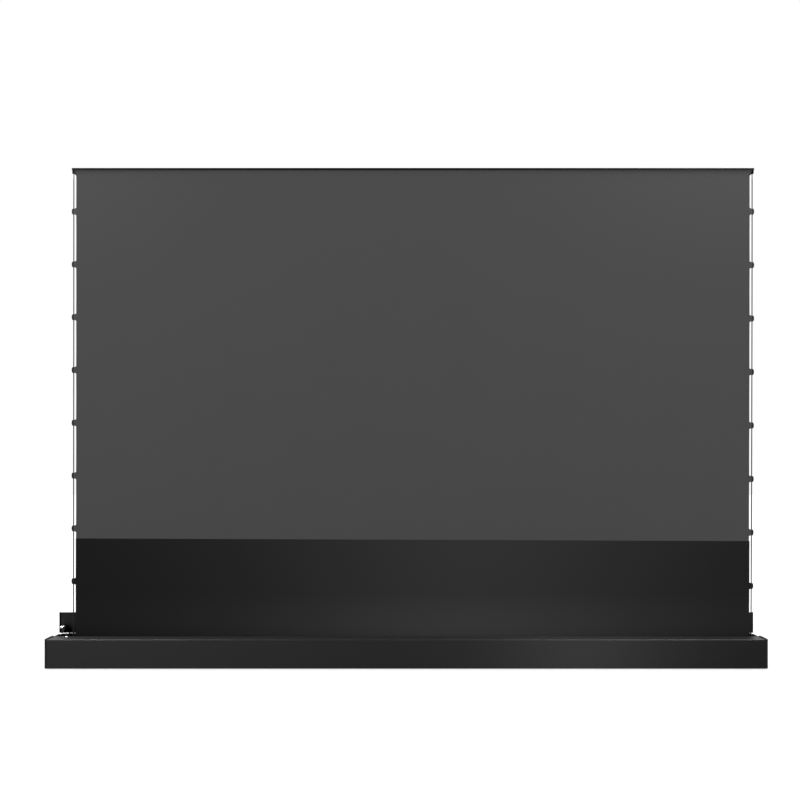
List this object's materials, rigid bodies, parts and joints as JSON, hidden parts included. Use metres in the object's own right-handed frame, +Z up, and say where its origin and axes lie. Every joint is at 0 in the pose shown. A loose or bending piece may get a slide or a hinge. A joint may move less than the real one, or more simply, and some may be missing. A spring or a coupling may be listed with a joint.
{
  "type": "pull up projection screen",
  "caption": "Floor-standing projection screen that rises out of a long low case: a grey sheet with tension cords and tabs, a scissor lift behind it, a roller and a hinged lid.",
  "frame": {"origin": "On the floor under the middle of the case.", "axes": "+X along the case to the right as seen from the front, +Y from the front to the back, +Z up."},
  "size_m": [2.9218, 0.18, 2.0526],
  "materials": {
    "black_steel": "satin black powder coat",
    "black_aluminium": "satin black anodised",
    "bright_steel": "bright zinc plate",
    "raw_aluminium": "mill finish",
    "black_plastic": "fine texture",
    "gloss_black": "gloss black",
    "rubber": "matt",
    "grey_sheet": "matt dark grey viewing surface",
    "black_sheet": "matt black",
    "grey_cord": "braided cord"
  },
  "bodies": {
    "case": {"bottom_tray": "black_steel", "front_panel": "black_aluminium", "rear_panel": "black_aluminium", "end_cap_left": "black_plastic", "end_cap_right": "black_plastic", "foot_front_left": "rubber", "foot_front_right": "rubber", "foot_rear_left": "rubber", "foot_rear_right": "rubber", "lid_hinge_rod": "bright_steel", "roller_bracket_left": "black_steel", "roller_bracket_right": "black_steel", "idle_pin": "bright_steel", "tubular_motor": "black_steel", "screen_surface": "grey_sheet", "black_drop": "black_sheet", "tab_strip_left": "grey_sheet", "tab_strip_right": "grey_sheet", "tension_cord_left": "grey_cord", "tension_cord_right": "grey_cord", "base_rail": "black_steel", "base_pivot_pin": "bright_steel", "gas_spring_cylinder": "black_steel", "control_unit": "black_plastic", "power_inlet": "black_plastic", "lid_motor": "black_steel", "motor_cable": "rubber", "lid_motor_cable": "rubber"},
    "lid": {"lid_panel": "black_aluminium", "lid_end_left": "black_plastic", "lid_end_right": "black_plastic", "lid_lug": "gloss_black", "lid_lug_pin": "bright_steel"},
    "crank": {"lid_crank": "gloss_black", "crank_shaft": "bright_steel", "crank_pin": "bright_steel"},
    "link": {"lid_link": "gloss_black"},
    "roller": {"roller_tube": "raw_aluminium", "fabric_wraps": "black_sheet", "cord_spool_left": "black_plastic", "cord_spool_right": "black_plastic", "idle_plug": "black_plastic", "drive_crown": "black_plastic"},
    "lower_arm_front": {"lower_arm_front": "black_steel"},
    "lower_arm_rear": {"lower_arm_rear": "black_steel", "lower_center_rivet": "bright_steel"},
    "lower_shoe": {"lower_shoe": "black_plastic", "gas_spring_rod": "bright_steel"},
    "upper_arm_rear": {"upper_arm_rear": "black_steel", "right_elbow_rivet": "bright_steel"},
    "upper_arm_front": {"upper_arm_front": "black_steel", "upper_center_rivet": "bright_steel", "left_elbow_rivet": "bright_steel"},
    "upper_shoe": {"upper_shoe": "black_plastic"},
    "top_bar": {"top_bar": "black_aluminium", "top_pivot_pin": "bright_steel", "fabric_batten": "raw_aluminium", "corner_hook_left": "black_steel", "corner_hook_right": "black_steel"}
  },
  "joints": [
    {"name": "lift", "type": "hinge", "parent": "case", "child": "lower_arm_front", "pos_m": [-0.64536, 0.0165, 0.0265], "axis": [0, 1, 0], "range_deg": [0, 35.7], "deforming": ["screen_surface", "black_drop", "tab_strip_left", "tab_strip_right", "tension_cord_left", "tension_cord_right"]},
    {"name": "lower_cross", "type": "hinge", "parent": "lower_arm_front", "child": "lower_arm_rear", "pos_m": [0.0279, 0.0188, 0.52877], "axis": [0, 1, 0], "range_deg": [-71.4, 0]},
    {"name": "lower_shoe_pivot", "type": "hinge", "parent": "lower_arm_rear", "child": "lower_shoe", "pos_m": [0.70117, 0.0188, 0.0265], "axis": [0, 1, 0], "range_deg": [0, 35.7]},
    {"name": "right_elbow", "type": "hinge", "parent": "lower_arm_front", "child": "upper_arm_rear", "pos_m": [0.70117, 0.0188, 1.03105], "axis": [0, 1, 0], "range_deg": [-71.4, 0]},
    {"name": "upper_cross", "type": "hinge", "parent": "upper_arm_rear", "child": "upper_arm_front", "pos_m": [0.0279, 0.0188, 1.53333], "axis": [0, 1, 0], "range_deg": [0, 71.4]},
    {"name": "top_pivot", "type": "hinge", "parent": "upper_arm_rear", "child": "top_bar", "pos_m": [-0.64536, 0.0188, 2.0356], "axis": [0, 1, 0], "range_deg": [0, 35.7]},
    {"name": "upper_shoe_pivot", "type": "hinge", "parent": "upper_arm_front", "child": "upper_shoe", "pos_m": [0.70117, 0.0188, 2.0356], "axis": [0, 1, 0], "range_deg": [-35.7, 0]},
    {"name": "roller_spin", "type": "hinge", "parent": "case", "child": "roller", "pos_m": [0, -0.02905, 0.06], "axis": [1, 0, 0], "range_deg": [-3123.75, 0]},
    {"name": "lid_hinge", "type": "hinge", "parent": "case", "child": "lid", "pos_m": [0, 0.087, 0.117], "axis": [1, 0, 0], "range_deg": [0, 36]},
    {"name": "crank_turn", "type": "hinge", "parent": "case", "child": "crank", "pos_m": [-1.4189, 0.043, 0.093], "axis": [1, 0, 0], "range_deg": [0, 36]},
    {"name": "link_pivot", "type": "hinge", "parent": "crank", "child": "link", "pos_m": [-1.4344, 0.0305, 0.121], "axis": [1, 0, 0], "range_deg": [-36, 0]}
  ],
  "couplings": [
    {"joint": "lower_cross", "follows": "lift", "ratio": -2},
    {"joint": "lower_shoe_pivot", "follows": "lift", "ratio": 1},
    {"joint": "right_elbow", "follows": "lift", "ratio": -2},
    {"joint": "upper_cross", "follows": "lift", "ratio": 2},
    {"joint": "top_pivot", "follows": "lift", "ratio": 1},
    {"joint": "upper_shoe_pivot", "follows": "lift", "ratio": -1},
    {"joint": "roller_spin", "follows": "lift", "ratio": -87.5},
    {"joint": "crank_turn", "follows": "lid_hinge", "ratio": 1},
    {"joint": "link_pivot", "follows": "lid_hinge", "ratio": -1}
  ]
}
